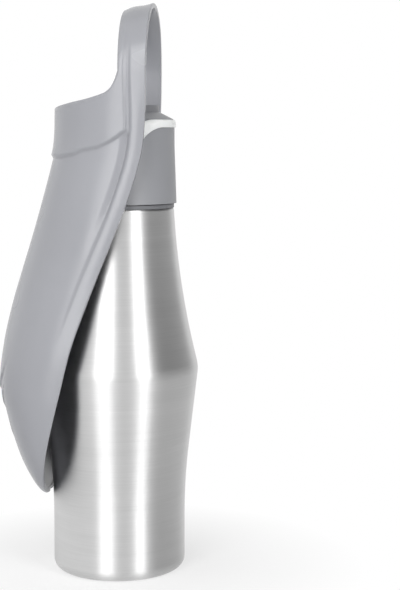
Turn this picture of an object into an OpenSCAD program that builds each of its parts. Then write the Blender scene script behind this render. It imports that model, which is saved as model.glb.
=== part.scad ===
// Dog travel water bottle: steel bottle, screw cap with a turning valve,
// and a leaf-shaped trough with a carry loop that swings on the cap.
// Millimetres. The origin is the middle of the base on the ground, +Z is up,
// the front is -Y and the trough lies at the back, +Y.

/* [Bottle] */
// Radius of the straight stretch that sits in a cup holder
body_r = 34.4; // [33:0.1:36]
// Height where the straight stretch ends
grip_h = 27; // [21:0.5:35]
// Radius where the two curved cones would meet
ridge_r = 41.65; // [39:0.05:42]
// Height of the ridge
ridge_h = 106; // [95:0.5:113]
// Radius of the shoulder under the cap
shoulder_r = 28.9; // [28:0.05:29.2]
// Height of the shoulder
shoulder_h = 189.4; // [179:0.2:199]
// Corner radius at the base
corner_r = 5.5; // [4:0.1:7]
// Thickness of the steel
steel = 0.8; // [0.6:0.05:1]
// Outer radius of the neck
neck_r = 25.5; // [25:0.1:25.8]
// Length of the neck above the shoulder
neck_len = 19.6; // [17:0.1:21]
// Rise of the domed base
dome_h = 3.2; // [1:0.1:5]

/* [Cap] */
// Height of the collar ring on the shoulder
collar_h = 2; // [1.2:0.1:2.6]
// Cap radius at its lower edge
cap_r = 30.2; // [29.9:0.05:30.6]
// Cap radius at the top of its taper
cap_top_r = 29.2; // [28.9:0.05:29.5]
// Height of the cap body
cap_h = 39.3; // [37:0.1:41]
// Thickness of the deck over the neck
deck = 3; // [2.4:0.1:3.6]
// Half width of the cap top between its shoulders
crown_w = 27.2; // [26.6:0.1:27.6]
// Rounding of the cap's two shoulders
crown_round = 10; // [8:0.1:12]
// Radius of the chamber between deck and lid
chamber_r = 17.6; // [17.2:0.1:18]
// Thickness of the silicone band
band = 4; // [3:0.1:4.5]
// Height of the lid above the crown
lid_h = 7.9; // [7.2:0.1:8.8]
// Height of the lid's upright edge above the crown
lid_edge = 4.3; // [4.1:0.1:5]
// Lid radius at its edge
lid_r = 28.6; // [28:0.1:29]

/* [Valve] */
// Knob radius
knob_r = 21; // [20.4:0.1:21.4]
// Rise of the grip above the lid
grip_rise = 3.6; // [2.5:0.1:5]
// Half width of the grip at its foot
grip_w = 16.2; // [14:0.1:17]
// Half width of the grip's flat top
grip_top_w = 11.5; // [9:0.1:13]
// Radius of the water ports
port_r = 3; // [2:0.1:3.1]
// Distance of the ports from the middle
port_at = 11.4; // [11:0.1:11.5]
// Spindle radius
spindle_r = 4; // [3.6:0.1:4.2]

/* [Hinge] */
// Height of the hinge axis below the crown
hinge_drop = 7.2; // [6.8:0.1:8]
// Radius of the stub axles
pin_r = 2.5; // [2:0.1:3]
// Half distance between the faces of the two cheeks
cheek_x = 30.7; // [30.6:0.05:30.9]
// Radius of the round cheeks
cheek_r = 5.4; // [5:0.1:5.6]
// Thickness of the thrust washers
washer_t = 0.4; // [0.3:0.05:0.6]
// Radius of the round part of the bearing brackets
bracket_r = 6.4; // [5:0.1:7]

/* [Trough] */
// Length of the leaf from hinge to tip
leaf_len = 184.8; // [174:0.2:190]
// Half width of the leaf where it is widest
leaf_w = 44.4; // [44:0.1:46]
// Depth of the leaf from rim to back at the hood
leaf_depth = 51; // [50:0.1:54]
// Wall thickness of the trough
wall = 2.6; // [2.2:0.1:2.8]
// Height of the hood's back edge above the hinge
hood_back = 17.3; // [15:0.1:20]
// Height above the hinge where the loop leaves the hood
loop_base = 35.2; // [33:0.1:38]
// Height of the loop's arch
loop_h = 36.6; // [33:0.1:39]
// Depth of the loop's band at its top
loop_band = 15.3; // [12:0.1:17]
// Drop of the loop's back edge below its front edge
loop_drop = 3.4; // [2:0.1:6]
// How far the loop leans forward at its top
loop_lean = 0.6; // [0:0.1:2]
// Thickness of the loop at its top
loop_wall = 2.7; // [2.2:0.1:3.2]
// Height of the bead along the rim
bead = 0.8; // [0.4:0.1:1]
// Step at the ledge under the hood
ledge = 0.6; // [0.3:0.1:1]

/* [Fits] */
// Radial clearance of a running pin
run = 0.05; // [0.03:0.01:0.08]
// Gap between pieces that turn past each other
gap = 0.3; // [0.25:0.05:0.35]

/* [Hidden] */
fine = 96;
eps = 0.01;
// the neck and the cap
curl_in = corner_r + 3;
shoulder_round = 1.4;
neck_top = shoulder_h + neck_len;
cap_z = shoulder_h + collar_h + gap + 0.1;
gasket_t = 1.8;
gasket_z = neck_top + gap / 2;
ceiling_z = gasket_z + gasket_t + gap;
deck_z = ceiling_z + deck;
thread_room = 1.5;
skirt_r = neck_r + thread_room;
crown_z = cap_z + cap_h;
seat_z = crown_z - 9.6;
deck_hole_r = 8;
// the band and the lid
band_front = 29.9;
band_bow = 31.9;
band_in_r = 25.6;
cheek_y = 7.3;
lid_top = crown_z + lid_h;
lid_cone_r = knob_r + 0.6;
recess_z = crown_z + 3.3;
spigot_z = crown_z - 6.7;
spigot_r = chamber_r - 0.2;
spigot_in = port_at + port_r + 0.2;
hub_r = 6.8;
ring_t = 0.85;
lid_ring_z = (crown_z + spigot_z) / 2;
hub_ring_z = crown_z - 1;
// the screws
screw_at = 21.6;
screw_r = 1.25;
head_r = 1.9;
head_h = 2;
screw_top = recess_z - 0.7;
// the valve
seal_t = 0.8;
knob_z = recess_z + seal_t + gap;
spindle_low = spigot_z - 2;
spindle_top = knob_z + 4;
clip_t = 0.6;
clip_z = spindle_low + 0.6;
washer_top = spigot_z - run * 2;
neck_of_clip = spindle_r - 0.8;
// the hinge
hinge_z = crown_z - hinge_drop;
pin_in = 22;
washer_x = cheek_x + washer_t;
bracket_x = washer_x + gap;
bracket_y = 8;
stop_w = 5;
stop_z = 9.4;
open_at = 135;

/* Bottle profile */
function lower_share(s) = (s < 0.48 ? s * s / 0.96 : s - 0.24) / 0.76;
function lower_r(z) = body_r + (ridge_r - body_r) * lower_share(max(0, (z - grip_h) / (ridge_h - grip_h)));
function upper_s(z) = max(0, (shoulder_h - shoulder_round - z) / (shoulder_h - shoulder_round - ridge_h));
function upper_r(z) = shoulder_r + (ridge_r - shoulder_r) * (0.354 * upper_s(z) + 0.646 * pow(upper_s(z), 2));
function soft_min(a, b, k) = min(a, b) - pow(max(k - abs(a - b), 0), 2) / k / 4;
function bottle_r(z) = soft_min(lower_r(z), upper_r(z), 1.2);
function arc(cx, cy, r, from, to, steps) =
    [for (i = [0:steps]) let(a = from + (to - from) * i / steps) [cx + r * cos(a), cy + r * sin(a)]];

flare_z = concat([for (z = [grip_h:5:ridge_h - 9]) z],
    [for (z = [ridge_h - 6:1:ridge_h + 6]) z],
    [for (z = [ridge_h + 9:5:shoulder_h - shoulder_round - 3]) z],
    [shoulder_h - shoulder_round]);

function shell_side(t) = concat(
    arc(body_r - corner_r, corner_r, corner_r - t, -90, 0, 8),
    [for (z = flare_z) [bottle_r(z) - t, z]],
    arc(shoulder_r - shoulder_round, shoulder_h - shoulder_round, shoulder_round - t, 15, 90, 5),
    [[neck_r - t, shoulder_h - t], [neck_r - t, neck_top]]);

function reversed(list) = [for (i = [len(list) - 1:-1:0]) list[i]];

module bottle_shell() {
    color("silver") rotate_extrude($fn = fine)
        polygon(concat([[body_r - curl_in, steel], [body_r - curl_in, 0]],
            shell_side(0), reversed(shell_side(steel))));
}

// The base disc lies on the inward curl and is pressed up to a dome
module bottle_base() {
    r = body_r - corner_r - 0.1;
    foot = body_r - curl_in - 1;
    color("darkgray") rotate_extrude($fn = fine)
        polygon([[0, steel + dome_h], [foot - 8, steel + dome_h], [foot, steel], [r, steel],
            [r, steel * 2], [foot, steel * 2], [foot - 8, steel * 2 + dome_h], [0, steel * 2 + dome_h]]);
}

module ring(inner, outer, z, h) {
    translate([0, 0, z]) rotate_extrude($fn = fine)
        translate([inner, 0]) square([outer - inner, h]);
}

module o_ring(at, z) {
    translate([0, 0, z]) rotate_extrude($fn = fine)
        translate([at, 0]) circle(ring_t, $fn = 24);
}

module neck_collar() {
    color("dimgray") ring(neck_r + 0.1, shoulder_r, shoulder_h, collar_h);
}

module neck_gasket() {
    color("white") ring(neck_r - 1.3, neck_r + 1.2, gasket_z, gasket_t);
}

/* Cap */
// Upright section with two rounded shoulders, seen from the front
module crown_section(w, top, round) {
    polygon(concat([[-w, seat_z - 30]],
        arc(-w + round, top - round, round, 180, 90, 12),
        arc(w - round, top - round, round, 90, 0, 12),
        [[w, seat_z - 30]]));
}

module crown_prism(w, top, round, y0, y1) {
    translate([0, y1, 0]) rotate([90, 0, 0]) linear_extrude(y1 - y0)
        crown_section(w, top, round);
}

module at_screws() {
    for (a = [45:90:315]) rotate([0, 0, a]) translate([screw_at, 0, 0]) children();
}

module cheeks() {
    for (side = [-1, 1]) intersection() {
        translate([side * cheek_x / 2, 0, hinge_z]) rotate([0, 90, 0])
            cylinder(h = cheek_x, r = cheek_r, center = true, $fn = fine);
        translate([side * (cheek_x + chamber_r + 3) / 2, 0, hinge_z])
            cube([cheek_x - chamber_r - 3, 20, 20], center = true);
    }
}

// Two small tapered ribs that carry the ends of the band
module band_rests() {
    for (side = [-1, 1]) translate([side * (cap_top_r - 3), -cheek_y - 2.2, seat_z - 9])
        rotate([90, 0, 0]) linear_extrude(3, center = true)
            polygon([[-side, 0], [side * 2.4, 0], [side * (cheek_x - cap_top_r + 2.4), 9], [-side, 9]]);
}

// Distances from the hinge that the hood's inner wall leaves free as it swings, by angle round the hood:
// past the back of the cap, and at the top of the band when the trough is open
function back_r(a) = inner(0, a)[1] - gap;
function front_r(a) = let(y = inner(hood_back / 2, a)[1] - gap,
    t = ((crown_z + band - hinge_z) / y - sin(open_at)) / cos(open_at)) y * sqrt(1 + t * t);

// Room above the hinge for the hood to swing past, behind the cap or in front of it
module swing_room(front) {
    half = [for (j = [mid - 5:mid]) let(a = columns[j])
        [front ? front_r(a) : back_r(a), inner(hood_back / 2, a)[0]]];
    side = half[0][1];
    difference() {
        translate([-40, front ? -40 : 0, hinge_z]) cube([80, 40, 40]);
        translate([0, 0, hinge_z]) rotate([0, 90, 0]) rotate_extrude($fn = fine * 2)
            polygon(concat([[0, side]], half,
                [for (p = reversed(half)) if (p[1] > 1) [p[0], -p[1]]], [[0, -side]]));
    }
}

module cap_body() {
    color("darkgray") difference() {
        union() {
            translate([0, 0, cap_z])
                cylinder(h = seat_z - cap_z, r1 = cap_r, r2 = cap_top_r, $fn = fine);
            intersection() {
                translate([0, 0, seat_z - 1]) cylinder(h = crown_z - seat_z + 2, r = cap_top_r, $fn = fine);
                crown_prism(crown_w, crown_z, crown_round, -40, 40);
            }
            cheeks();
            band_rests();
        }
        translate([0, 0, cap_z - 1]) cylinder(h = ceiling_z - cap_z + 1, r = skirt_r, $fn = fine);
        translate([0, 0, ceiling_z - 1]) cylinder(h = deck + 2, r = deck_hole_r, $fn = fine);
        translate([0, 0, deck_z]) cylinder(h = crown_z - deck_z + 1, r = chamber_r, $fn = fine);
        at_screws() {
            translate([0, 0, ceiling_z - 1]) cylinder(h = head_h + 1.2, r = head_r + 0.1, $fn = 32);
            translate([0, 0, ceiling_z]) cylinder(h = 30, r = screw_r + 0.1, $fn = 32);
        }
        for (side = [-1, 1]) translate([side * (pin_in + 10), 0, hinge_z]) rotate([0, 90, 0])
            cylinder(h = 20, r = pin_r, center = true, $fn = 48);
        swing_room(false);
    }
}

// Front zone that the silicone band takes up, with its clearance c at the back
module band_zone(c) {
    intersection() {
        translate([0, 0, seat_z]) difference() {
            translate([0, band_bow - band_front, 0]) cylinder(h = 40, r = band_bow, $fn = fine);
            translate([0, 0, -1]) cylinder(h = 42, r = band_in_r - c, $fn = fine);
        }
        crown_prism(cheek_x, crown_z + band, crown_round, -40, -cheek_y + c);
    }
}

module seal_band() {
    color("white") difference() {
        band_zone(0);
        crown_prism(crown_w, crown_z, crown_round, -41, 41);
        swing_room(true);
    }
}

module cap_lid() {
    color("darkgray") difference() {
        union() {
            translate([0, 0, crown_z]) cylinder(h = lid_edge, r = lid_r, $fn = fine);
            translate([0, 0, crown_z + lid_edge])
                cylinder(h = lid_h - lid_edge, r1 = lid_r, r2 = lid_cone_r, $fn = fine);
            difference() {
                translate([0, 0, spigot_z]) cylinder(h = crown_z - spigot_z + eps, r = spigot_r, $fn = fine);
                translate([0, 0, spigot_z - 1]) cylinder(h = 20, r = spigot_in, $fn = fine);
            }
            translate([0, 0, spigot_z]) cylinder(h = recess_z - spigot_z, r = hub_r, $fn = fine);
            lid_skirts();
        }
        ring(hub_r, spigot_in, spigot_z - 1, crown_z + 1 - spigot_z + 1);
        translate([0, 0, recess_z]) cylinder(h = 20, r = knob_r + gap, $fn = fine);
        translate([0, 0, spigot_z - 1]) cylinder(h = 20, r = spindle_r + run, $fn = fine);
        ring(spigot_r - 1.7, spigot_r + 1, lid_ring_z - 1, 2);
        ring(spindle_r - 0.5, spindle_r + 2, hub_ring_z - 1, 2);
        for (side = [-1, 1]) translate([side * port_at, 0, crown_z])
            cylinder(h = 10, r = port_r, $fn = 48);
        at_screws() translate([0, 0, crown_z - 1])
            cylinder(h = screw_top + 0.2 - crown_z + 1, r = screw_r + eps, $fn = 32);
        band_zone(0.1);
        swing_room(false);
        swing_room(true);
    }
}

// Rear sides of the lid that close the cap's shoulders down to the seat
module lid_skirts() {
    difference() {
        intersection() {
            translate([0, 0, seat_z]) cylinder(h = crown_z - seat_z + eps, r = cap_top_r, $fn = fine);
            translate([-40, cheek_y, seat_z]) cube([80, 40, 20]);
        }
        crown_prism(crown_w, crown_z, crown_round, -41, 41);
    }
}

module lid_screws() {
    color("silver") at_screws() {
        translate([0, 0, ceiling_z + 0.2]) cylinder(h = head_h, r = head_r, $fn = 32);
        translate([0, 0, ceiling_z + 0.2]) cylinder(h = screw_top - ceiling_z - 0.2, r = screw_r, $fn = 32);
    }
}

module lid_o_ring() {
    color("dimgray") o_ring(spigot_r + 0.1 - ring_t, lid_ring_z);
}

module spindle_o_ring() {
    color("dimgray") o_ring(spindle_r + run + ring_t, hub_ring_z);
}

/* Valve */
module ports(along_y) {
    for (side = [-1, 1]) rotate([0, 0, along_y ? 90 : 0]) translate([side * port_at, 0, recess_z - 1])
        cylinder(h = 20, r = port_r, $fn = 48);
}

module port_seal() {
    color("white") difference() {
        translate([0, 0, recess_z]) cylinder(h = seal_t, r = knob_r - 0.1, $fn = fine);
        translate([0, 0, recess_z - 1]) cylinder(h = 5, r = spindle_r + 0.6, $fn = fine);
        ports(false);
    }
}

// Rounded flank of the grip, from its foot to its flat top
function grip_flank(side) = [for (p = arc(0, 0, 1, 165, 90, 8))
    [side * (grip_top_w - (grip_w - grip_top_w) * p[0]), lid_top + grip_rise * p[1]]];

// Flat disc with a broad raised grip whose ends follow the disc's edge
module valve_knob() {
    color("darkgray") difference() {
        intersection() {
            translate([0, 0, knob_z]) cylinder(h = 20, r = knob_r, $fn = fine);
            translate([0, 30, 0]) rotate([90, 0, 0]) linear_extrude(60)
                polygon(concat([[-30, knob_z], [-30, lid_top], [-grip_w, lid_top]],
                    grip_flank(-1), reversed(grip_flank(1)),
                    [[grip_w, lid_top], [30, lid_top], [30, knob_z]]));
        }
        ports(true);
        translate([0, 0, knob_z - 1]) cylinder(h = spindle_top - knob_z + 1, r = spindle_r, $fn = fine);
    }
}

module knob_spindle() {
    color("gray") difference() {
        translate([0, 0, spindle_low]) cylinder(h = spindle_top - spindle_low, r = spindle_r, $fn = fine);
        ring(neck_of_clip, spindle_r + 1, clip_z, clip_t);
    }
}

module spindle_washer() {
    color("silver") ring(spindle_r + run, hub_r, clip_z + clip_t, washer_top - clip_z - clip_t);
}

module spindle_clip() {
    color("dimgray") difference() {
        ring(neck_of_clip, hub_r - 0.8, clip_z, clip_t);
        translate([0, -5, clip_z + clip_t / 2]) cube([neck_of_clip * 1.6, 10, 2], center = true);
    }
}

/* Trough */
// Stations: share of the leaf's length below the hinge, rim position,
// depth as a share of leaf_depth, half width as a share of leaf_w
stations = [
    [-0.200, -18.6, 0.980, 0.890],
    [-0.092, -18.3, 0.976, 0.869],
    [0.005, -16.9, 0.962, 0.860],
    [0.065, -14.6, 0.964, 0.865],
    [0.169, -8.7, 0.949, 0.885],
    [0.267, -1.7, 0.916, 0.894],
    [0.359, 5.2, 0.884, 0.912],
    [0.457, 12.1, 0.852, 0.946],
    [0.566, 19.1, 0.802, 0.986],
    [0.686, 24.5, 0.739, 1.000],
    [0.767, 28.2, 0.592, 1.000],
    [0.876, 32.9, 0.350, 1.000],
    [0.958, 35.5, 0.143, 1.000],
    [1.000, 36.6, 0.018, 1.000]
];
// Angles round the section, from the rim to the middle of the back
columns = [90, 87.2, 84, 82.6, 80, 77, 75.8, 74.5, 71, 66, 59, 50, 39, 26, 13, 0];
// Rise of the hood's edge from the back to the foot of the loop, by angle, and of the ledge below it
edge_rise = [[0, 0], [14, 0], [34, 0.084], [50, 0.18], [58, 0.238], [66, 0.33], [71, 0.43],
    [74.5, 0.575], [75.8, 0.7], [77, 1], [90, 1]];
ledge_rise = [[0, 0], [35, 0], [50, 0.08], [57, 0.2], [68, 0.29], [74, 0.42], [78, 0.54], [82, 0.7], [90, 1]];
tip_from = 0.6746;
mid = len(columns) - 1;
loop_cols = 5;
row = 2 * mid + 1;
arch_steps = 24;

function station(s, i = 0) = (i >= len(stations) - 2 || s < stations[i + 1][0]) ? i : station(s, i + 1);
function slope(i, c) = let(a = max(i - 1, 0), b = min(i + 1, len(stations) - 1))
    (stations[b][c] - stations[a][c]) / (stations[b][0] - stations[a][0]);
function along(z, c) = let(s = max(-0.2, min(1, -z / leaf_len)), i = station(s),
    h = stations[i + 1][0] - stations[i][0], t = (s - stations[i][0]) / h)
    (2 * t * t * t - 3 * t * t + 1) * stations[i][c] + (t * t * t - 2 * t * t + t) * h * slope(i, c)
    + (3 * t * t - 2 * t * t * t) * stations[i + 1][c] + (t * t * t - t * t) * h * slope(i + 1, c);
function ease(t) = let(x = max(0, min(1, t))) x * x * (3 - 2 * x);
function tip_round(z) = let(q = max(0, (-z / leaf_len - tip_from) / (1 - tip_from)))
    sqrt(max(0, 1 - q * q * q));
function half_w(z) = leaf_w * along(z, 3) * tip_round(z);
function rim_y(z) = along(z, 1);
function belly(z) = leaf_depth * along(z, 2);
function power(z) = 2.2 + 0.25 * ease((z / leaf_len + 0.35) / 0.25);
function level_z(back_z, a) = let(up = max(0, min(1, (back_z - ledge_z) / (hood_back - ledge_z))))
    back_z + (loop_base - hood_back) * ease((back_z + 71) / (ledge_z + 71))
    * (lookup(a, ledge_rise) * (1 - up) + lookup(a, edge_rise) * up);
function skin(back_z, a) = let(z = level_z(back_z, abs(a)), e = 2 / power(z))
    [sign(a) * half_w(z) * pow(abs(sin(a)), e), rim_y(z) + belly(z) * pow(max(0, cos(a)), e), z];
function out_of(back_z, a) = let(
    up = skin(min(back_z + 0.4, hood_back), a) - skin(max(back_z - 0.4, levels[0]), a),
    round = skin(back_z, min(90, a + 0.4)) - skin(back_z, max(-90, a - 0.4)), n = cross(up, round))
    n / norm(n);
function proud(back_z, a) = (back_z > ledge_z && abs(a) < 80 ? ledge : 0)
    + (abs(a) > 83 ? bead * ease((level_z(back_z, abs(a)) + 105) / 60) : 0);
function outer(back_z, a) = skin(back_z, a) + out_of(back_z, a) * proud(back_z, a);
function inner(back_z, a) = skin(back_z, a) - out_of(back_z, a) * wall;

ledge_z = -8;
levels = concat(
    [for (a = [80, 70, 60, 50, 41, 33, 25, 17, 9])
        -leaf_len * (tip_from + (1 - tip_from) * pow(sin(a), 2 / 3))],
    [for (s = [0.6746, 0.636, 0.593, 0.544, 0.49, 0.435, 0.381, 0.326, 0.272, 0.218, 0.169, 0.125, 0.087])
        -leaf_len * s],
    [ledge_z - 0.9, ledge_z - 0.1, ledge_z + 0.6, ledge_z + 6, ledge_z + 13, ledge_z + 19, hood_back]);
top = len(levels) - 1;

function angle_at(j) = j <= mid ? -columns[j] : columns[2 * mid - j];
function depth_share(j) = (outer(hood_back, columns[j])[1] - outer(hood_back, 90)[1])
    / (outer(hood_back, columns[loop_cols])[1] - outer(hood_back, 90)[1]);
// One point of the loop: a is 0 at the left foot and 180 at the right foot
function loop_point(foot, j, a, thick) = let(
    v = depth_share(j), s = pow(sin(a), 0.95), c = sign(cos(a)) * pow(abs(cos(a)), 0.95),
    drop = loop_drop * pow(v, 1.9), front = outer(hood_back, 90),
    tuck = drop - (front[0] - outer(hood_back, columns[j])[0]))
    [-(foot[0] - tuck * s) * c,
    foot[1] + (front[1] - loop_lean + loop_band * v - foot[1]) * s,
    loop_base + (loop_h - drop - thick) * s];
function loop_outer(j, a) = loop_point(outer(hood_back, columns[j]), j, a, 0);
function loop_inner(j, a) = loop_point(inner(hood_back, columns[j]), j, a, loop_wall);

grid_outer = [for (z = levels) for (j = [0:row - 1]) outer(z, angle_at(j))];
grid_inner = [for (z = levels) for (j = [0:row - 1]) inner(z, angle_at(j))];
arch_outer = [for (r = [1:arch_steps - 1]) for (j = [0:loop_cols]) loop_outer(j, 180 * r / arch_steps)];
arch_inner = [for (r = [1:arch_steps - 1]) for (j = [0:loop_cols]) loop_inner(j, 180 * r / arch_steps)];

grid_count = len(grid_outer);
arch_count = len(arch_outer);
function at_grid(side, i, j) = side * grid_count + i * row + j;
function at_arch(side, r, j) = r == 0 ? at_grid(side, top, j)
    : r == arch_steps ? at_grid(side, top, 2 * mid - j)
    : 2 * grid_count + side * arch_count + (r - 1) * (loop_cols + 1) + j;
function quad(a, b, c, d) = [[a, b, c], [a, c, d]];
function skin_faces() = [for (i = [0:top - 1]) for (j = [0:row - 2]) each concat(
    quad(at_grid(0, i, j), at_grid(0, i, j + 1), at_grid(0, i + 1, j + 1), at_grid(0, i + 1, j)),
    quad(at_grid(1, i, j), at_grid(1, i + 1, j), at_grid(1, i + 1, j + 1), at_grid(1, i, j + 1)))];
function rim_faces() = [for (i = [0:top - 1]) each concat(
    quad(at_grid(0, i, 0), at_grid(0, i + 1, 0), at_grid(1, i + 1, 0), at_grid(1, i, 0)),
    quad(at_grid(0, i + 1, row - 1), at_grid(0, i, row - 1),
        at_grid(1, i, row - 1), at_grid(1, i + 1, row - 1)))];
function tip_faces() = [for (j = [0:row - 2]) each
    quad(at_grid(0, 0, j + 1), at_grid(0, 0, j), at_grid(1, 0, j), at_grid(1, 0, j + 1))];
function hood_faces() = [for (j = [loop_cols:2 * mid - loop_cols - 1]) each
    quad(at_grid(0, top, j), at_grid(0, top, j + 1), at_grid(1, top, j + 1), at_grid(1, top, j))];
function arch_faces() = [for (r = [0:arch_steps - 1]) for (j = [0:loop_cols - 1]) each concat(
    quad(at_arch(0, r, j), at_arch(0, r, j + 1), at_arch(0, r + 1, j + 1), at_arch(0, r + 1, j)),
    quad(at_arch(1, r, j), at_arch(1, r + 1, j), at_arch(1, r + 1, j + 1), at_arch(1, r, j + 1)))];
function arch_edges() = [for (r = [0:arch_steps - 1]) each concat(
    quad(at_arch(0, r, 0), at_arch(0, r + 1, 0), at_arch(1, r + 1, 0), at_arch(1, r, 0)),
    quad(at_arch(0, r + 1, loop_cols), at_arch(0, r, loop_cols),
        at_arch(1, r, loop_cols), at_arch(1, r + 1, loop_cols)))];

module trough_shell() {
    color("darkgray") translate([0, 0, hinge_z])
        polyhedron(points = concat(grid_outer, grid_inner, arch_outer, arch_inner),
            faces = concat(skin_faces(), rim_faces(), tip_faces(), hood_faces(), arch_faces(), arch_edges()));
}

/* Hinge */
// Inner face of the trough's side wall at hinge height
function wall_x(y) = let(v = (y - rim_y(0)) / belly(0), n = power(0))
    half_w(0) * pow(1 - pow(v, n), 1 / n) - wall * 1.05 - 0.25;

module mirrored(side) {
    mirror([side < 0 ? 1 : 0, 0, 0]) children();
}

module hinge_bracket(side) {
    color("darkgray") mirrored(side) difference() {
        intersection() {
            union() {
                translate([bracket_x, 0, hinge_z]) rotate([0, 90, 0])
                    cylinder(h = 10, r = bracket_r, $fn = fine);
                translate([bracket_x, -stop_w, hinge_z - stop_z]) cube([10, stop_w * 2, stop_z]);
            }
            translate([0, 0, hinge_z - 20]) linear_extrude(40)
                polygon([[bracket_x, -bracket_y], [wall_x(-bracket_y), -bracket_y],
                    [wall_x(bracket_y), bracket_y], [bracket_x, bracket_y]]);
        }
        translate([bracket_x - 1, 0, hinge_z]) rotate([0, 90, 0]) cylinder(h = 12, r = pin_r + run, $fn = 48);
    }
}

module hinge_pin(side) {
    color("silver") mirrored(side) translate([pin_in, 0, hinge_z]) rotate([0, 90, 0])
        cylinder(h = wall_x(pin_r) - pin_in, r = pin_r, $fn = 48);
}

module hinge_washer(side) {
    color("white") mirrored(side) translate([cheek_x, 0, hinge_z]) rotate([0, 90, 0])
        ring(pin_r + run, cheek_r - 0.6, 0, washer_t);
}

module hinge_bracket_left() { hinge_bracket(-1); }
module hinge_bracket_right() { hinge_bracket(1); }
module hinge_pin_left() { hinge_pin(-1); }
module hinge_pin_right() { hinge_pin(1); }
module hinge_washer_left() { hinge_washer(-1); }
module hinge_washer_right() { hinge_washer(1); }

bottle_shell();
bottle_base();
neck_collar();
neck_gasket();
cap_body();
cap_lid();
lid_screws();
lid_o_ring();
seal_band();
port_seal();
valve_knob();
knob_spindle();
spindle_o_ring();
spindle_washer();
spindle_clip();
trough_shell();
hinge_bracket_left();
hinge_bracket_right();
hinge_pin_left();
hinge_pin_right();
hinge_washer_left();
hinge_washer_right();
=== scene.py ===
# Dog travel water bottle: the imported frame, dressed for the render
import math
import bpy
import numpy as np
from mathutils import Matrix, Vector


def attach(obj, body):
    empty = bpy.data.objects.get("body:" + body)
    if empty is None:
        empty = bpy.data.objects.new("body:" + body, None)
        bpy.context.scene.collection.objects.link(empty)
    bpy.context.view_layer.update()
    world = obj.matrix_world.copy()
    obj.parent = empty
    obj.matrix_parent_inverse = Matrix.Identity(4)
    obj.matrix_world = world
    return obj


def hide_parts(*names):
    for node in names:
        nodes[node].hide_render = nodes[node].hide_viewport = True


mm = 0.001
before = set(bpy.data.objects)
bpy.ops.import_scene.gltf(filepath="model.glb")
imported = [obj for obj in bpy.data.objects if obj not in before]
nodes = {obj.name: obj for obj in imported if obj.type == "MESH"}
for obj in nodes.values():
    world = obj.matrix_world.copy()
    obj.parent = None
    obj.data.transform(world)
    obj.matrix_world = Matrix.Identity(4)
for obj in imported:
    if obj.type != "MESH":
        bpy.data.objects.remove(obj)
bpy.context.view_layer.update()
print("frame loaded:", len(nodes), "nodes")


def linearFromHex(text):
    channels = [int(text[i:i + 2], 16) / 255 for i in (1, 3, 5)]
    linear = [c / 12.92 if c <= 0.04045 else ((c + 0.055) / 1.055) ** 2.4 for c in channels]
    return (*linear, 1.0)


def addNode(tree, kind, settings=None, inputs=None):
    node = tree.nodes.new(kind)
    for key, value in (settings or {}).items():
        setattr(node, key, value)
    for key, value in (inputs or {}).items():
        if isinstance(value, bpy.types.NodeSocket):
            tree.links.new(value, node.inputs[key])
        else:
            node.inputs[key].default_value = value
    return node


def newMaterial(name):
    material = bpy.data.materials.new(name)
    material.use_nodes = True
    material.node_tree.nodes.clear()
    return material, material.node_tree


def closeMaterial(tree, shader):
    addNode(tree, "ShaderNodeOutputMaterial", inputs={"Surface": shader.outputs[0]})


def spreadNoise(tree, noise, low, high):
    # noise lies mostly between 0.3 and 0.7, and that stretch is drawn out from low to high
    return addNode(tree, "ShaderNodeMapRange", inputs={
        "Value": noise.outputs[0], "From Min": 0.3, "From Max": 0.7, "To Min": low, "To Max": high})


def meshPiece(name, points, faces, material, smooth=True):
    mesh = bpy.data.meshes.new(name)
    mesh.from_pydata([tuple(p) for p in points], [], faces)
    mesh.update()
    if smooth:
        mesh.polygons.foreach_set("use_smooth", [True] * len(mesh.polygons))
    piece = bpy.data.objects.new(name, mesh)
    bpy.context.scene.collection.objects.link(piece)
    mesh.materials.append(material)
    return piece


# Stainless steel 304, turned and brushed round the axis: the fine rings pull each
# reflection into a tall stripe, and single scratches glitter in it
brushedSteel = {
    "colour": "#CCCCCC", "roughness": 0.43, "roughSpread": 0.03, "anisotropic": 0.93,
    "ringMm": 0.5, "streakMm": 30,          # real scratches lie 0.05 mm apart, too fine to show
    "ringTone": (0.955, 1.03), "bandTone": (0.97, 1.02), "bandScale": (14.0, 14.0, 180.0),
    "bump": 0.012, "bumpDepth": 0.0002,
}


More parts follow.
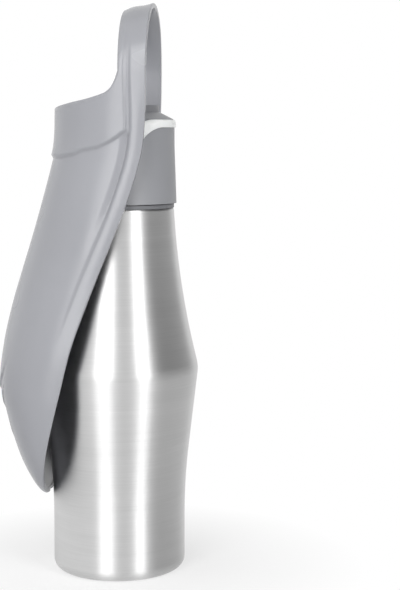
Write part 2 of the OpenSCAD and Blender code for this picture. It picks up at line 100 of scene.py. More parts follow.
def makeBrushedSteel():
    steel = brushedSteel
    material, tree = newMaterial("brushedStainlessSteel")
    place = addNode(tree, "ShaderNodeTexCoord")
    alongRing = 1000 / steel["streakMm"]
    fineScale = addNode(tree, "ShaderNodeMapping", inputs={
        "Vector": place.outputs["Object"], "Scale": (alongRing, alongRing, 1000 / steel["ringMm"])})
    rings = addNode(tree, "ShaderNodeTexNoise", inputs={
        "Vector": fineScale.outputs[0], "Scale": 1.0, "Detail": 3.0, "Roughness": 0.6})
    broad = addNode(tree, "ShaderNodeMapping", inputs={
        "Vector": place.outputs["Object"], "Scale": steel["bandScale"]})
    bands = addNode(tree, "ShaderNodeTexNoise", inputs={
        "Vector": broad.outputs[0], "Scale": 1.0, "Detail": 2.0})
    tone = spreadNoise(tree, rings, *steel["ringTone"])
    toneBand = spreadNoise(tree, bands, *steel["bandTone"])
    toneBoth = addNode(tree, "ShaderNodeMath", {"operation": "MULTIPLY"},
                       {0: tone.outputs[0], 1: toneBand.outputs[0]})
    colour = addNode(tree, "ShaderNodeVectorMath", {"operation": "SCALE"},
                     {0: linearFromHex(steel["colour"])[:3], "Scale": toneBoth.outputs[0]})
    rough = spreadNoise(tree, rings, steel["roughness"] - steel["roughSpread"],
                        steel["roughness"] + steel["roughSpread"])
    bump = addNode(tree, "ShaderNodeBump", inputs={
        "Strength": steel["bump"], "Distance": steel["bumpDepth"], "Height": rings.outputs[0]})
    tangent = addNode(tree, "ShaderNodeTangent", {"direction_type": "RADIAL", "axis": "Z"})
    shader = addNode(tree, "ShaderNodeBsdfPrincipled", inputs={
        "Base Color": colour.outputs[0], "Metallic": 1.0, "Roughness": rough.outputs[0],
        "Anisotropic": steel["anisotropic"], "Anisotropic Rotation": 0.25,
        "Normal": bump.outputs[0], "Tangent": tangent.outputs[0]})
    closeMaterial(tree, shader)
    return material


# ABS, moulded in a spark-eroded tool: satin with a very fine grain and a soft sheen
mouldedAbs = {"colour": "#8F9094", "dark": "#898A8E", "roughness": 0.40, "grainMm": 0.35, "bump": 0.12}
# The trough's tool is polished further, so the same ABS shows longer, clearer highlights
troughAbs = {"colour": "#94959A", "dark": "#8E8F94", "roughness": 0.25, "grainMm": 0.6, "bump": 0.05}
# The knob is the same satin ABS as the lid, its colour darkened as painted shade, so that the grip stands
# out on the lid
knobAbsPaintedShade = {"colour": "#7E7F83", "dark": "#797A7E", "roughness": 0.42, "grainMm": 0.35, "bump": 0.12}
# Polypropylene, moulded: waxier and duller than the ABS; its colour is set darker as painted shade of the
# recess under the cap, so the collar reads as a dark line
collarPpPaintedShade = {"colour": "#6E6F73", "dark": "#67686C", "roughness": 0.46, "grainMm": 0.35, "bump": 0.1}
# Nitrile rubber, compression moulded: nearly black and matt
nitrile = {"colour": "#2B2B2D", "dark": "#252527", "roughness": 0.55, "grainMm": 0.3, "bump": 0.15}
# Acetal, turned from rod: smooth and slightly slick
acetal = {"colour": "#8C8D90", "dark": "#86878A", "roughness": 0.38, "grainMm": 0.4, "bump": 0.08}
plasticSurface = {
    "ior": 1.53, "flowScale": 22.0, "flowTwist": 0.4, "roughSpread": 0.025,
    "cornerMm": 0.35, "bumpDepth": 0.0001,
}


def makePlastic(name, recipe):
    surface = plasticSurface
    material, tree = newMaterial(name)
    place = addNode(tree, "ShaderNodeTexCoord")
    grain = addNode(tree, "ShaderNodeTexNoise", inputs={
        "Vector": place.outputs["Object"], "Scale": 1000 / recipe["grainMm"], "Detail": 2.0})
    # slow change of tone from the way the melt filled the tool
    flow = addNode(tree, "ShaderNodeTexNoise", inputs={
        "Vector": place.outputs["Object"], "Scale": surface["flowScale"], "Detail": 2.0,
        "Distortion": surface["flowTwist"]})
    tone = addNode(tree, "ShaderNodeMix", {"data_type": "RGBA"}, {
        0: flow.outputs[0], 6: linearFromHex(recipe["dark"]), 7: linearFromHex(recipe["colour"])})
    rough = spreadNoise(tree, flow, recipe["roughness"] - surface["roughSpread"],
                        recipe["roughness"] + surface["roughSpread"])
    # moulded corners are never sharp, so the light is rounded off over each of them
    corner = addNode(tree, "ShaderNodeBevel", inputs={"Radius": surface["cornerMm"] * mm})
    bump = addNode(tree, "ShaderNodeBump", inputs={
        "Strength": recipe["bump"], "Distance": surface["bumpDepth"], "Height": grain.outputs[0],
        "Normal": corner.outputs[0]})
    shader = addNode(tree, "ShaderNodeBsdfPrincipled", inputs={
        "Base Color": tone.outputs[2], "Roughness": rough.outputs[0], "IOR": surface["ior"],
        "Normal": bump.outputs[0]})
    closeMaterial(tree, shader)
    return material


# Silicone rubber, compression moulded: milky, lets a little light in, soft highlights
whiteSilicone = {"colour": "#F0F1F0", "roughness": 0.42, "radiusMm": 1.5, "weight": 0.35}
# The band's grade has less filler, so light goes deeper and its edges glow
clearSilicone = {"colour": "#F3F5F4", "roughness": 0.33, "radiusMm": 3.0, "weight": 0.6}
siliconeSurface = {"ior": 1.41, "cloudScale": 180.0, "roughSpread": 0.05, "bump": 0.06, "bumpDepth": 0.0002}


def makeSilicone(name, recipe):
    surface = siliconeSurface
    material, tree = newMaterial(name)
    place = addNode(tree, "ShaderNodeTexCoord")
    cloud = addNode(tree, "ShaderNodeTexNoise", inputs={
        "Vector": place.outputs["Object"], "Scale": surface["cloudScale"], "Detail": 3.0})
    rough = addNode(tree, "ShaderNodeMapRange", inputs={
        "Value": cloud.outputs[0], "To Min": recipe["roughness"] - surface["roughSpread"],
        "To Max": recipe["roughness"] + surface["roughSpread"]})
    bump = addNode(tree, "ShaderNodeBump", inputs={
        "Strength": surface["bump"], "Distance": surface["bumpDepth"], "Height": cloud.outputs[0]})
    shader = addNode(tree, "ShaderNodeBsdfPrincipled", inputs={
        "Base Color": linearFromHex(recipe["colour"]), "Roughness": rough.outputs[0],
        "IOR": surface["ior"], "Subsurface Weight": recipe["weight"],
        "Subsurface Radius": (1.0, 1.0, 1.0), "Subsurface Scale": recipe["radiusMm"] * mm,
        "Normal": bump.outputs[0]})
    closeMaterial(tree, shader)
    return material


# Stainless steel, pressed from sheet: plain bright metal with a short random grain
pressedSteel = {"colour": "#B4B4B4", "roughness": 0.34, "grainMm": 0.4}
# Stainless steel, turned: a little brighter and sharper in its reflections
fastenerSteel = {"colour": "#C2C2C2", "roughness": 0.25, "grainMm": 0.3}
plainSteelSurface = {"roughSpread": 0.08, "bump": 0.08, "bumpDepth": 0.0001}


def makePlainSteel(name, recipe):
    surface = plainSteelSurface
    material, tree = newMaterial(name)
    place = addNode(tree, "ShaderNodeTexCoord")
    grain = addNode(tree, "ShaderNodeTexNoise", inputs={
        "Vector": place.outputs["Object"], "Scale": 1000 / recipe["grainMm"], "Detail": 2.0})
    rough = addNode(tree, "ShaderNodeMapRange", inputs={
        "Value": grain.outputs[0], "To Min": recipe["roughness"] - surface["roughSpread"],
        "To Max": recipe["roughness"] + surface["roughSpread"]})
    bump = addNode(tree, "ShaderNodeBump", inputs={
        "Strength": surface["bump"], "Distance": surface["bumpDepth"], "Height": grain.outputs[0]})
    shader = addNode(tree, "ShaderNodeBsdfPrincipled", inputs={
        "Base Color": linearFromHex(recipe["colour"]), "Metallic": 1.0,
        "Roughness": rough.outputs[0], "Normal": bump.outputs[0]})
    closeMaterial(tree, shader)
    return material


steelBody = makeBrushedSteel()
absCap = makePlastic("mouldedGreyAbs", mouldedAbs)
absTrough = makePlastic("polishedMouldedGreyAbs", troughAbs)
# darker copy of the satin ABS for the knob: painted shade
absKnobPaintedShade = makePlastic("mouldedGreyAbsPaintedShade", knobAbsPaintedShade)
siliconeWhite = makeSilicone("whiteSiliconeRubber", whiteSilicone)
siliconeClear = makeSilicone("translucentSiliconeRubber", clearSilicone)
steelPressed = makePlainSteel("pressedStainlessSteel", pressedSteel)
steelFastener = makePlainSteel("turnedStainlessSteel", fastenerSteel)
# the collar's darker colour is painted shade of the recess under the cap
polypropylenePaintedShade = makePlastic("mouldedPolypropylenePaintedShade", collarPpPaintedShade)
rubber = makePlastic("mouldedNitrileRubber", nitrile)
acetalGrey = makePlastic("turnedGreyAcetal", acetal)

nodeFinish = {
    # the neck collar's darker polypropylene is painted shade of the recess under the cap
    "bottle_shell": steelBody, "bottle_base": steelPressed, "neck_collar": polypropylenePaintedShade,
    "neck_gasket": siliconeWhite, "cap_body": absCap, "cap_lid": absCap, "lid_screws": steelFastener,
    "lid_o_ring": rubber, "seal_band": siliconeClear, "port_seal": siliconeWhite,
    # the knob takes the darker copy of the ABS, which is painted shade
    "valve_knob": absKnobPaintedShade, "knob_spindle": acetalGrey, "spindle_o_ring": rubber,
    "spindle_washer": steelFastener, "spindle_clip": steelFastener, "trough_shell": absTrough,
    "hinge_bracket_left": absTrough, "hinge_bracket_right": absTrough,
    "hinge_pin_left": steelFastener, "hinge_pin_right": steelFastener,
    "hinge_washer_left": siliconeWhite, "hinge_washer_right": siliconeWhite,
}
for name, material in nodeFinish.items():
    node = nodes[name]
    if not node.material_slots:
        node.data.materials.append(material)
    for place in node.material_slots:
        place.material = material
print("materials ready")

# Trough: sizes in mm as in the CAD source, heights from the hinge, angles in degrees
# round the leaf from 0 at the middle of its back to 90 at the rim
trough = {
    "hingeZ": 223.9, "leafLen": 184.8, "leafW": 44.34, "leafDepth": 51.0, "wall": 2.6,
    "hoodBack": 17.3, "loopBase": 35.2, "loopH": 36.6, "loopBand": 15.3,
    "loopLean": 0.6, "loopWall": 2.7, "archPower": 0.95, "ledgeZ": -8.0, "tipFrom": 0.6746,
    # fullness of the section, which grows towards the hood over a share of the leaf's length
    "power": 2.2, "powerMore": 0.25, "powerFrom": 0.35, "powerOver": 0.25,
    "tipWallFrom": 90.0,                        # the wall thickens below this depth
    "riseFrom": 71.0,                           # the rows begin to bend up at this depth
    "edgeRound": 0.8, "rimRound": 0.45,         # radius along the hood's edge and along the rim
    "lowerFrom": 77.0, "lowerOver": 6.0,        # angles over which the hood's edge drops
    "beadRise": 0.7, "beadWide": 8.0, "beadPast": 0.6, "beadEdge": 1.8,
    "beadFrom": 105.0, "beadOver": 60.0,        # the bead grows in upwards from this depth
    "beadCrown": 0.3, "crownBelow": 2.0, "crownOver": 22.0,
    "ledgeStep": 1.4, "ledgeTall": 2.2, "ledgeIn": 9.2, "ledgeOver": 1.4,
    "grooveDeep": 1.0, "grooveFrom": 9.0, "grooveTo": 13.6, "grooveLip": 0.9,
    "grooveBelow": 1.0, "grooveEnd": 2.0, "grooveDepth": 62.0, "grooveOver": 45.0,
    "lobeRise": 20.0, "lobeHalf": 36.0, "lobeDeep": 0.85, "lobeLong": 11.0,
    "lobeStep": 0.9, "lobePast": 4.0, "lobeOver": 16.0,
    # rows and columns of the mesh
    "tipRows": -166.0, "tipSteps": 46, "levelStep": 0.95, "hoodSteps": 20,
    "columnStep": 1.4, "hoodSpan": 50.2, "archSteps": 110,
}
# share of the length, y of the rim, belly and half width as shares of leafDepth and leafW
leafStations = np.array([
    [-0.200, -18.6, 0.980, 0.890], [-0.092, -18.3, 0.976, 0.869], [0.005, -16.9, 0.962, 0.860],
    [0.065, -14.6, 0.964, 0.865], [0.169, -8.7, 0.949, 0.885], [0.267, -1.7, 0.916, 0.894],
    [0.359, 5.2, 0.884, 0.912], [0.457, 12.1, 0.852, 0.946], [0.566, 19.1, 0.802, 0.986],
    [0.686, 24.5, 0.739, 1.000], [0.767, 28.2, 0.592, 1.000], [0.876, 32.9, 0.350, 1.000],
    [0.958, 35.5, 0.143, 1.000], [1.000, 36.6, 0.018, 1.000]])
# lower ends of the three overlapping lobes on the nose, at the middle of the back
lobeEnds = (-131.0, -142.0, -162.0)
# fall of the loop's top face from its front edge to its back edge, with a flared lip in front
loopFall = np.array([[0, 0], [0.1, 0.45], [0.3, 1.15], [0.6, 1.6], [0.8, 2.2], [1, 3.4]])
# how far the hood's edge and the ledge climb towards the loop, by angle
edgeRise = np.array([[0, 0], [14, 0], [34, 0.084], [50, 0.18], [58, 0.238], [66, 0.33], [71, 0.41],
                     [74.5, 0.51], [76.6, 0.66], [78, 0.82], [78.9, 1], [90, 1]])
ledgeRise = np.array([[0, 0], [35, 0], [50, 0.08], [57, 0.2], [68, 0.29], [74, 0.42], [78, 0.54],
                      [82, 0.7], [90, 1]])
# distances from the rim of the close columns over the bead, and rows close to the ledge
beadColumns = [0, 0.6, 1.3, 2.1, 3, 4, 5, 5.8, 6.4, 6.9, 7.4, 7.9, 8.4, 8.9, 9.6, 10.4, 11.3, 12.2, 13.0]
ledgeRows = [-1.6, -1.0, -0.5, 0, 0.5, 1.0, 1.6, 2.4, 3.4]
ledgeBelow, ledgeAbove = 2.2, 4.6
lipAngles = [22.5, 45, 67.5, 90]


def ease(t):
    x = np.clip(t, 0, 1)
    return x * x * (3 - 2 * x)


def alongLeaf(z, column):
    # smooth curve through the stations, with the slope of their neighbours at each
    share = np.clip(-z / trough["leafLen"], -0.2, 1)
    at = leafStations[:, 0]
    values = leafStations[:, column]
    before = np.maximum(np.arange(len(at)) - 1, 0)
    after = np.minimum(np.arange(len(at)) + 1, len(at) - 1)
    slopes = (values[after] - values[before]) / (at[after] - at[before])
    i = np.clip(np.searchsorted(at, share, side="right") - 1, 0, len(at) - 2)
    h = at[i + 1] - at[i]
    t = (share - at[i]) / h
    return ((2 * t**3 - 3 * t**2 + 1) * values[i] + (t**3 - 2 * t**2 + t) * h * slopes[i]
            + (3 * t**2 - 2 * t**3) * values[i + 1] + (t**3 - t**2) * h * slopes[i + 1])


def tipRound(z):
    q = np.clip((-z / trough["leafLen"] - trough["tipFrom"]) / (1 - trough["tipFrom"]), 0, 1)
    return np.sqrt(np.maximum(1 - q**3, 0))


def levelZ(backZ, angle):
    ledgeZ, hoodBack, riseFrom = trough["ledgeZ"], trough["hoodBack"], trough["riseFrom"]
    up = np.clip((backZ - ledgeZ) / (hoodBack - ledgeZ), 0, 1)
    rise = (np.interp(angle, ledgeRise[:, 0], ledgeRise[:, 1]) * (1 - up)
            + np.interp(angle, edgeRise[:, 0], edgeRise[:, 1]) * up)
    # the free edge of the hood ends lower by the radius that is added round it
    lower = trough["edgeRound"] * up * ease((trough["lowerFrom"] - angle) / trough["lowerOver"])
    bend = ease((backZ + riseFrom) / (ledgeZ + riseFrom))
    return backZ + (trough["loopBase"] - hoodBack) * bend * rise - lower


def section(z, angle, shrink):
    # shrink 0 gives the outer skin, 1 the inner one, nested inside it down to the tip
    wallThick = trough["wall"] * shrink
    fuller = ease((z / trough["leafLen"] + trough["powerFrom"]) / trough["powerOver"])
    power = trough["power"] + trough["powerMore"] * fuller
    halfW = trough["leafW"] * alongLeaf(z, 3) * tipRound(z)
    halfW = halfW - wallThick * halfW / (halfW + 1.5)
    belly = trough["leafDepth"] * alongLeaf(z, 2)
    belly = belly - wallThick * belly / (belly + wallThick + 0.001)
    edge = np.minimum(trough["rimRound"], belly * 0.3)
    around = np.radians(np.abs(angle))
    x = np.sign(angle) * halfW * np.sin(around) ** (2 / power)
    y = alongLeaf(z, 1) + edge + (belly - edge) * np.maximum(np.cos(around), 0) ** (2 / power)
    zIn = z + wallThick * ease((-z - trough["tipWallFrom"]) / trough["tipWallFrom"])
    return np.stack([x, y, zIn], axis=-1)


def tipLevel(angle):
    # even steps round the tip's curve give rows that close up towards its end
    share = math.sin(math.radians(angle)) ** (2 / 3)
    return -trough["leafLen"] * (trough["tipFrom"] + (1 - trough["tipFrom"]) * share)


def troughGrid():
    # columns: close together over the bead and the foot of the loop, then even round the back
    hoodPower = trough["power"] + trough["powerMore"]
    angles = [math.degrees(math.acos((d / trough["hoodSpan"]) ** (hoodPower / 2))) for d in beadColumns]
    loopCols = len(angles) - 1
    last = angles[-1]
    angles += list(np.linspace(last, 0, int(last / trough["columnStep"]) + 1)[1:])
    half = np.array(angles)
    angle = np.concatenate([-half, half[-2::-1]])
    ledgeZ = trough["ledgeZ"]
    low = [tipLevel(a) for a in np.linspace(85, 3, trough["tipSteps"])]
    low = [z for z in low if z < trough["tipRows"] - 1]
    middle = list(np.arange(trough["tipRows"], ledgeZ - ledgeBelow, trough["levelStep"]))
    ledge = [ledgeZ + d for d in ledgeRows]
    hood = list(np.linspace(ledgeZ + ledgeAbove, trough["hoodBack"], trough["hoodSteps"]))
    return np.array(low + middle + ledge + hood), angle, loopCols


def surfaceNormals(grid):
    up = np.gradient(grid, axis=0)
    around = np.gradient(grid, axis=1)
    n = np.cross(up, around)
    return n / np.maximum(np.linalg.norm(n, axis=2, keepdims=True), 1e-9)


def beadRelief(z, fromRim):
    fade = ease((z + trough["beadFrom"]) / trough["beadOver"])
    past = trough["beadWide"] + trough["beadPast"] - fromRim
    bead = trough["beadRise"] * fade * ease(past / trough["beadEdge"])
    crownFade = ease((trough["loopBase"] - trough["crownBelow"] - z) / trough["crownOver"])
    crown = trough["beadCrown"] * fade * crownFade
    return bead + crown * np.sin(np.clip(fromRim / trough["beadWide"], 0, 1) * math.pi)


def ledgeRelief(backZ, fromRim):
    tall = trough["ledgeTall"]
    step = trough["ledgeStep"] * ease((backZ - trough["ledgeZ"] + tall / 2) / tall)
    return step * ease((fromRim - trough["ledgeIn"]) / trough["ledgeOver"])


def grooveRelief(z, backZ, fromRim):
    # beside the bead: it falls slowly from the panel and rises steeply at the bead
    lip = trough["grooveLip"]
    fall = np.clip((trough["grooveTo"] - fromRim) / (trough["grooveTo"] - trough["grooveFrom"]), 0, 1)
    groove = -trough["grooveDeep"] * fall * ease((fromRim - trough["grooveFrom"] + lip) / lip)
    underLedge = ease((trough["ledgeZ"] - trough["grooveBelow"] - backZ) / trough["grooveEnd"])
    return groove * underLedge * ease((z + trough["grooveDepth"]) / trough["grooveOver"])


def lobeRelief(z, angle):
    # the lobes overlap like feathers: the skin steps in below each and comes out again downwards
    aside = np.abs(angle)[None, :]
    lobes = 0 * z
    for end in lobeEnds:
        above = z - end - trough["lobeRise"] * (aside / trough["lobeHalf"]) ** 2
        tail = np.exp(np.minimum(above, 0) / trough["lobeLong"])
        lobes -= ease(0.5 - above / trough["lobeStep"]) * tail
    inside = ease((trough["lobeHalf"] + trough["lobePast"] - aside) / trough["lobeOver"])
    return lobes * trough["lobeDeep"] * inside


def leafRelief(grid, levels, angle):
    # how far the outer skin stands out or in, in mm
    steps = np.linalg.norm(np.diff(grid, axis=1), axis=2)
    fromLeft = np.concatenate([np.zeros((len(grid), 1)), np.cumsum(steps, axis=1)], axis=1)
    fromRim = np.minimum(fromLeft, fromLeft[:, -1:] - fromLeft)
    z = grid[:, :, 2]
    backZ = levels[:, None] + 0 * z
    relief = beadRelief(z, fromRim) + ledgeRelief(backZ, fromRim)
    return relief + grooveRelief(z, backZ, fromRim) + lobeRelief(z, angle)


def roundedEdge(points, outerLoop, innerLoop, radius, faces):
    # closes the wall along a free edge with a rounded lip
    outer = points[outerLoop]
    inner = points[innerLoop]
    across = outer - inner
    thick = np.linalg.norm(across, axis=1, keepdims=True)
    across = across / thick
    along = np.roll(outer, -1, axis=0) - np.roll(outer, 1, axis=0)
    along = along / np.linalg.norm(along, axis=1, keepdims=True)
    out = np.cross(along, across)
    out = out / np.linalg.norm(out, axis=1, keepdims=True)
    r = np.minimum(radius, thick * 0.48)
    extra = []
    for edge, way, angles in ((outer, -1, lipAngles), (inner, 1, lipAngles[::-1])):
        for a in angles:
            c, s = math.cos(math.radians(a)), math.sin(math.radians(a))
            extra.append(edge + way * across * r * (1 - c) + out * r * s)
    count = len(outerLoop)
    start = len(points)
    rings = [outerLoop]
    rings += [np.arange(start + k * count, start + (k + 1) * count) for k in range(len(extra))]
    rings.append(innerLoop)
    for a, b in zip(rings[:-1], rings[1:]):
        for i in range(count):
            j = (i + 1) % count
            faces.append((int(a[i]), int(a[j]), int(b[j]), int(b[i])))
    return np.concatenate([points] + extra)


def loopArch(topOuter, topInner, loopCols):
    # strips over the hood from the loop's left foot to its right foot
    last = len(topOuter) - 1
    front = topOuter[last]
    backFoot = topOuter[last - loopCols]
    band = trough["loopBand"] - trough["edgeRound"] - trough["rimRound"]
    archOuter, archInner = [], []
    for r in range(1, trough["archSteps"]):
        a = math.pi * r / trough["archSteps"]
        s = math.sin(a) ** trough["archPower"]
        c = math.copysign(abs(math.cos(a)) ** trough["archPower"], math.cos(a))
        # the band leans and tucks in slowly above its feet, so that no fold shows there
        lean = s * s * (3 - 2 * s)
        for j in range(loopCols + 1):
            outerFoot, innerFoot = topOuter[last - j], topInner[last - j]
            v = (outerFoot[1] - front[1]) / (backFoot[1] - front[1])
            drop = np.interp(v, loopFall[:, 0], loopFall[:, 1])
            tuck = drop - (front[0] - outerFoot[0])
            for foot, thick, store in ((outerFoot, 0, archOuter),
                                       (innerFoot, trough["loopWall"], archInner)):
                store.append((-(foot[0] - tuck * lean) * c,
                              foot[1] + (front[1] - trough["loopLean"] + band * v - foot[1]) * lean,
                              foot[2] + (trough["loopH"] - drop - thick) * s))
    return np.array(archOuter), np.array(archInner)


def makeTrough():
    levels, angle, loopCols = troughGrid()
    z = levelZ(levels[:, None], np.abs(angle)[None, :])
    allAngles = angle[None, :] + 0 * z
    grid = section(z, allAngles, 0)
    outer = grid + surfaceNormals(grid) * leafRelief(grid, levels, angle)[:, :, None]
    inner = section(z, allAngles, 1)
    rows, cols = z.shape
    archOuter, archInner = loopArch(outer[-1], inner[-1], loopCols)
    points = np.concatenate([outer.reshape(-1, 3), inner.reshape(-1, 3), archOuter, archInner])
    points[:, 2] += trough["hingeZ"]
    gridCount, archCount = rows * cols, len(archOuter)
    archSteps = trough["archSteps"]

    def onGrid(side, i, j):
        return side * gridCount + i * cols + j

    def onArch(side, r, j):
        if r == 0:
            return onGrid(side, rows - 1, j)
        if r == archSteps:
            return onGrid(side, rows - 1, cols - 1 - j)
        return 2 * gridCount + side * archCount + (r - 1) * (loopCols + 1) + j

    faces = []
    for spot, longWay, wide in ((onGrid, rows - 1, cols - 1), (onArch, archSteps, loopCols)):
        for i in range(longWay):
            for j in range(wide):
                faces.append((spot(0, i, j), spot(0, i, j + 1), spot(0, i + 1, j + 1), spot(0, i + 1, j)))
                faces.append((spot(1, i, j), spot(1, i + 1, j), spot(1, i + 1, j + 1), spot(1, i, j + 1)))
    archRange = range(1, archSteps)
    frontLoops, hoodLoops = [], []
    for side in (0, 1):
        left = [onGrid(side, i, 0) for i in range(rows)]
        over = [onArch(side, r, 0) for r in archRange]
        right = [onGrid(side, i, cols - 1) for i in reversed(range(rows))]
        tip = [onGrid(side, 0, j) for j in reversed(range(1, cols - 1))]
        frontLoops.append(np.array(left + over + right + tip))
        hood = [onGrid(side, rows - 1, j) for j in range(loopCols, cols - loopCols)]
        behind = [onArch(side, r, loopCols) for r in reversed(archRange)]
        hoodLoops.append(np.array(hood + behind))
    points = roundedEdge(points, frontLoops[0], frontLoops[1], trough["rimRound"], faces)
    points = roundedEdge(points, hoodLoops[0], hoodLoops[1], trough["edgeRound"], faces)
    piece = meshPiece("trough_leaf", points * mm, faces, absTrough)
    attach(piece, "trough")
    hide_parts("trough_shell")
    return piece


leaf = makeTrough()
print("trough made:", len(leaf.data.vertices), "points")

# The lid's thin flange lies on top of the silicone band, so that only the band's face shows
flange = {
    "top": 235.1, "halfW": 30.7, "round": 10.0, "backR": 25.7, "bow": 31.9, "front": 29.9,
    "sideY": 7.6, "endIn": 1.5,
    "inset": 1.9, "sideLess": 1.3, "sideFrom": 0.70, "sideOver": 0.17,
    "clear": 0.04, "thick": 0.22, "thinFrom": 0.85, "thinBy": 0.5, "around": 96, "across": 10,
}


def flangeReach(c, s):
    # from the bottle's axis to the band's bowed face, less the strip of band that stays in view
    centre = flange["bow"] - flange["front"]
    # on the sides it comes nearly out to the face, so that the band looks thinner there
    inset = flange["inset"] - flange["sideLess"] * ease((abs(c) - flange["sideFrom"]) / flange["sideOver"])
    return math.sqrt(flange["bow"] ** 2 - (centre * c) ** 2) - centre * s - inset


def makeFlange():
    first = math.asin(flange["sideY"] / (flange["halfW"] - flange["endIn"]))
    round2 = flange["round"] ** 2
    top, bottom = [], []
    for i in range(flange["around"] + 1):
        a = first + (math.pi - 2 * first) * i / flange["around"]
        c, s = math.cos(a), math.sin(a)
        reach = flangeReach(c, s)
        for j in range(flange["across"] + 1):
            share = j / flange["across"]
            r = flange["backR"] + (reach - flange["backR"]) * share
            x, y = r * c, -r * s
            over = max(abs(x) - (flange["halfW"] - flange["round"]), 0)
            fall = flange["round"] - math.sqrt(max(round2 - over ** 2, 0))
            nearEdge = max(0, (share - flange["thinFrom"]) / (1 - flange["thinFrom"]))
            level = flange["top"] - fall + flange["clear"]
            top.append((x, y, level + flange["thick"] * (1 - flange["thinBy"] * nearEdge ** 2)))
            bottom.append((x, y, level))
    points = np.array(top + bottom)
    cols = flange["across"] + 1
    rows = flange["around"] + 1
    half = rows * cols
    faces = []
    for i in range(rows - 1):
        for j in range(cols - 1):
            a, b, c, d = i * cols + j, i * cols + j + 1, (i + 1) * cols + j + 1, (i + 1) * cols + j
            faces.append((a, d, c, b))
            faces.append((half + a, half + b, half + c, half + d))
    rim = ([(i * cols, (i + 1) * cols) for i in range(rows - 1)]
           + [((rows - 1) * cols + j, (rows - 1) * cols + j + 1) for j in range(cols - 1)]
           + [((i + 1) * cols - 1 + cols, (i + 1) * cols - 1) for i in reversed(range(rows - 1))]
           + [(j + 1, j) for j in reversed(range(cols - 1))])
    for a, b in rim:
        faces.append((a, half + a, half + b, b))
    piece = meshPiece("lid_flange", points * mm, faces, absCap)
    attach(piece, "cap")
    return piece


flangePiece = makeFlange()
print("lid flange made:", len(flangePiece.data.vertices), "points")

# Rolled thread on the steel neck, one ridge with the pitch that the cap rises by in a turn
neckThread = {
    "neckR": 25.5, "deep": 0.9, "pitch": 4.0, "turns": 2.6, "from": 192.6, "wide": 2.4,
    "steps": 72, "runOut": 16,      # steps in a turn, and steps over which an end runs out
}
# the ridge's section: height as a share of its width, then how far out as a share of its depth
threadProfile = [(-0.5, -0.1), (-0.42, 0.12), (-0.28, 0.62), (-0.12, 0.95), (0.12, 0.95), (0.28, 0.62),
                 (0.42, 0.12), (0.5, -0.1)]


def makeThread():
    steps = int(neckThread["steps"] * neckThread["turns"])
    points = []
    for i in range(steps + 1):
        a = 2 * math.pi * i / neckThread["steps"]
        full = min(1.0, i / neckThread["runOut"], (steps - i) / neckThread["runOut"])
        level = neckThread["from"] + neckThread["pitch"] * i / neckThread["steps"]
        for across, out in threadProfile:
            r = neckThread["neckR"] + neckThread["deep"] * (out if out < 0 else out * full)
            points.append((r * math.cos(a), r * math.sin(a), level + neckThread["wide"] * across))
    count = len(threadProfile)
    faces = [tuple(range(count)), tuple(steps * count + k for k in reversed(range(count)))]
    for i in range(steps):
        for k in range(count):
            n = (k + 1) % count
            faces.append((i * count + k, (i + 1) * count + k, (i + 1) * count + n, i * count + n))
    piece = meshPiece("neck_thread", np.array(points) * mm, faces, steelPressed)
    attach(piece, "bottle")
    return piece


thread = makeThread()
print("neck thread made:", len(thread.data.vertices), "points")

# The photograph's horizon is high in its frame, and its upright lines stay parallel:
# part of that comes from the shift, the rest from the pitch
cameraSetup = {
    "distance": 0.770021, "height": 0.226918, "back": (-0.9914, -0.1305), "lens": 89.549, "sensor": 36,
    "yaw": 3.1646, "pitch": 2.3196, "shiftY": -0.16949, "clipStart": 0.01,
}
back = Vector((*cameraSetup["back"], 0)).normalized()
aim = Matrix.Rotation(math.radians(-cameraSetup["yaw"]), 3, "Z") @ -back
sideways = aim.cross(Vector((0, 0, 1))).normalized()
aim = Matrix.Rotation(math.radians(-cameraSetup["pitch"]), 3, sideways) @ aim
camera = bpy.data.objects.new("camera", bpy.data.cameras.new("camera"))
camera.data.lens = cameraSetup["lens"]
camera.data.sensor_width = cameraSetup["sensor"]
camera.data.shift_y = cameraSetup["shiftY"]
camera.data.clip_start = cameraSetup["clipStart"]
camera.location = back * cameraSetup["distance"] + Vector((0, 0, cameraSetup["height"]))
camera.rotation_euler = aim.to_track_quat("-Z", "Y").to_euler()
bpy.context.scene.collection.objects.link(camera)
bpy.context.scene.camera = camera
print("camera ready")

# Seamless floor: matt near the bottle, where it holds the shadow, and white further out
floorSetup = {"colour": "#F8F8F8", "nearShare": 0.62, "whiteFrom": 0.045, "whiteTo": 0.13, "size": 6.0}


def makeFloor():
    material, tree = newMaterial("paleStudioFloor")
    place = addNode(tree, "ShaderNodeTexCoord")
    far = addNode(tree, "ShaderNodeVectorMath", {"operation": "LENGTH"}, {0: place.outputs["Object"]})
    fade = addNode(tree, "ShaderNodeMapRange", inputs={
        "Value": far.outputs["Value"], "From Min": floorSetup["whiteFrom"],
        "From Max": floorSetup["whiteTo"], "To Min": floorSetup["nearShare"]})
    rays = addNode(tree, "ShaderNodeLightPath")
    seen = addNode(tree, "ShaderNodeMath", {"operation": "MAXIMUM"},
                   {0: rays.outputs["Is Camera Ray"], 1: rays.outputs["Is Glossy Ray"]})
    share = addNode(tree, "ShaderNodeMath", {"operation": "MULTIPLY"},
                    {0: fade.outputs[0], 1: seen.outputs[0]})
    matt = addNode(tree, "ShaderNodeBsdfDiffuse", inputs={"Color": linearFromHex(floorSetup["colour"])})
    white = addNode(tree, "ShaderNodeEmission", inputs={"Color": (1, 1, 1, 1), "Strength": 1.0})
    mix = addNode(tree, "ShaderNodeMixShader",
                  inputs={0: share.outputs[0], 1: matt.outputs[0], 2: white.outputs[0]})
    closeMaterial(tree, mix)
    size = floorSetup["size"]
    corners = [(-size, -size, 0), (size, -size, 0), (size, size, 0), (-size, size, 0)]
    floor = meshPiece("floor", corners, [(0, 1, 2, 3)], material, smooth=False)


makeFloor()

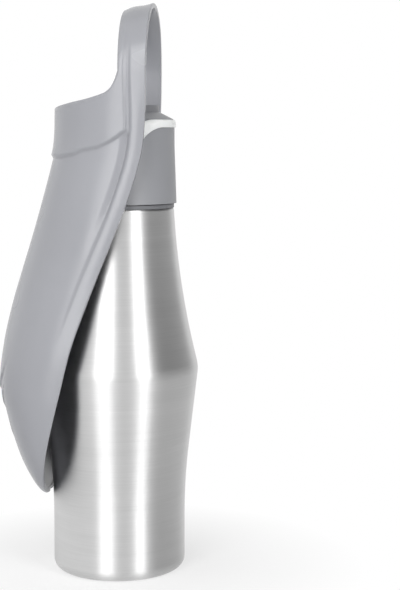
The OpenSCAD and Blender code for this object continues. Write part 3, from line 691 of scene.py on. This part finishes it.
# The studio round the bottle: pale in front, paler on the left, a dark flag high on the right;
# tones are what the steel mirrors, and fill is the share of them that lights the rest
studio = {
    "fill": 0.42, "paleTone": 1.0, "leftTone": 1.5, "leftFrom": 0.45, "leftTo": 0.85,
    "flagTone": 0.02, "flagAngle": 98, "flagFrom": 0.66, "flagTo": 0.86,
    "flagLow": 0.0, "flagHigh": 0.14,
}
right = Vector((0, 0, 1)).cross(back)
pureWhite = (1, 1, 1, 1)


def makeStudio():
    world = bpy.data.worlds.new("studio")
    bpy.context.scene.world = world
    world.use_nodes = True
    sky = world.node_tree
    sky.nodes.clear()
    smooth = {"interpolation_type": "SMOOTHSTEP"}
    facing = addNode(sky, "ShaderNodeTexCoord")
    flat = addNode(sky, "ShaderNodeVectorMath", {"operation": "MULTIPLY"},
                   {0: facing.outputs["Generated"], 1: (1, 1, 0)})
    level = addNode(sky, "ShaderNodeVectorMath", {"operation": "NORMALIZE"}, {0: flat.outputs[0]})
    flagTurn = math.radians(studio["flagAngle"])
    toFlag = addNode(sky, "ShaderNodeVectorMath", {"operation": "DOT_PRODUCT"},
                     {0: level.outputs[0], 1: back * math.cos(flagTurn) + right * math.sin(flagTurn)})
    toLeft = addNode(sky, "ShaderNodeVectorMath", {"operation": "DOT_PRODUCT"},
                     {0: level.outputs[0], 1: -right})
    leftTone = addNode(sky, "ShaderNodeMapRange", smooth, {
        "Value": toLeft.outputs["Value"], "From Min": studio["leftFrom"], "From Max": studio["leftTo"],
        "To Min": studio["paleTone"], "To Max": studio["leftTone"]})
    flagSide = addNode(sky, "ShaderNodeMapRange", smooth, {
        "Value": toFlag.outputs["Value"], "From Min": studio["flagFrom"], "From Max": studio["flagTo"]})
    split = addNode(sky, "ShaderNodeSeparateXYZ", inputs={0: facing.outputs["Generated"]})
    flagUp = addNode(sky, "ShaderNodeMapRange", smooth, {
        "Value": split.outputs["Z"], "From Min": studio["flagLow"], "From Max": studio["flagHigh"]})
    flag = addNode(sky, "ShaderNodeMath", {"operation": "MULTIPLY"},
                   {0: flagSide.outputs[0], 1: flagUp.outputs[0]})
    tone = addNode(sky, "ShaderNodeMapRange", inputs={
        "Value": flag.outputs[0], "To Min": leftTone.outputs[0], "To Max": studio["flagTone"]})
    rays = addNode(sky, "ShaderNodeLightPath")
    fillTone = addNode(sky, "ShaderNodeMath", {"operation": "MULTIPLY"},
                       {0: tone.outputs[0], 1: studio["fill"]})
    fill = addNode(sky, "ShaderNodeBackground", inputs={"Color": pureWhite, "Strength": fillTone.outputs[0]})
    mirrored = addNode(sky, "ShaderNodeBackground", inputs={"Color": pureWhite, "Strength": tone.outputs[0]})
    white = addNode(sky, "ShaderNodeBackground", inputs={"Color": pureWhite, "Strength": 1.0})
    glossyMix = addNode(sky, "ShaderNodeMixShader", inputs={
        0: rays.outputs["Is Glossy Ray"], 1: fill.outputs[0], 2: mirrored.outputs[0]})
    plain = addNode(sky, "ShaderNodeMath", {"operation": "MAXIMUM"},
                    {0: rays.outputs["Is Camera Ray"], 1: rays.outputs["Is Transmission Ray"]})
    skyMix = addNode(sky, "ShaderNodeMixShader", inputs={
        0: plain.outputs[0], 1: glossyMix.outputs[0], 2: white.outputs[0]})
    addNode(sky, "ShaderNodeOutputWorld", inputs={"Surface": skyMix.outputs[0]})


makeStudio()

# Two tall softboxes; angles are to the right of the camera as seen from the bottle
softboxes = {
    "left": {"angle": -23.0, "wide": 0.70, "power": 15.5},
    "right": {"angle": 36.5, "wide": 0.48, "power": 12.5},
}
softboxPlace = {"tall": 1.7, "distance": 1.5, "height": 0.72, "aimHeight": 0.15}
for name, box in softboxes.items():
    a = math.radians(box["angle"])
    direction = back * math.cos(a) + right * math.sin(a)
    lamp = bpy.data.lights.new("softbox_" + name, "AREA")
    lamp.shape = "RECTANGLE"
    lamp.size = box["wide"]
    lamp.size_y = softboxPlace["tall"]
    lamp.energy = box["power"]
    holder = bpy.data.objects.new("softbox_" + name, lamp)
    holder.location = direction * softboxPlace["distance"] + Vector((0, 0, softboxPlace["height"]))
    toBottle = Vector((0, 0, softboxPlace["aimHeight"])) - holder.location
    holder.rotation_euler = toBottle.to_track_quat("-Z", "Y").to_euler()
    bpy.context.scene.collection.objects.link(holder)

bpy.context.scene.view_settings.view_transform = "Standard"
print("stage and light ready")
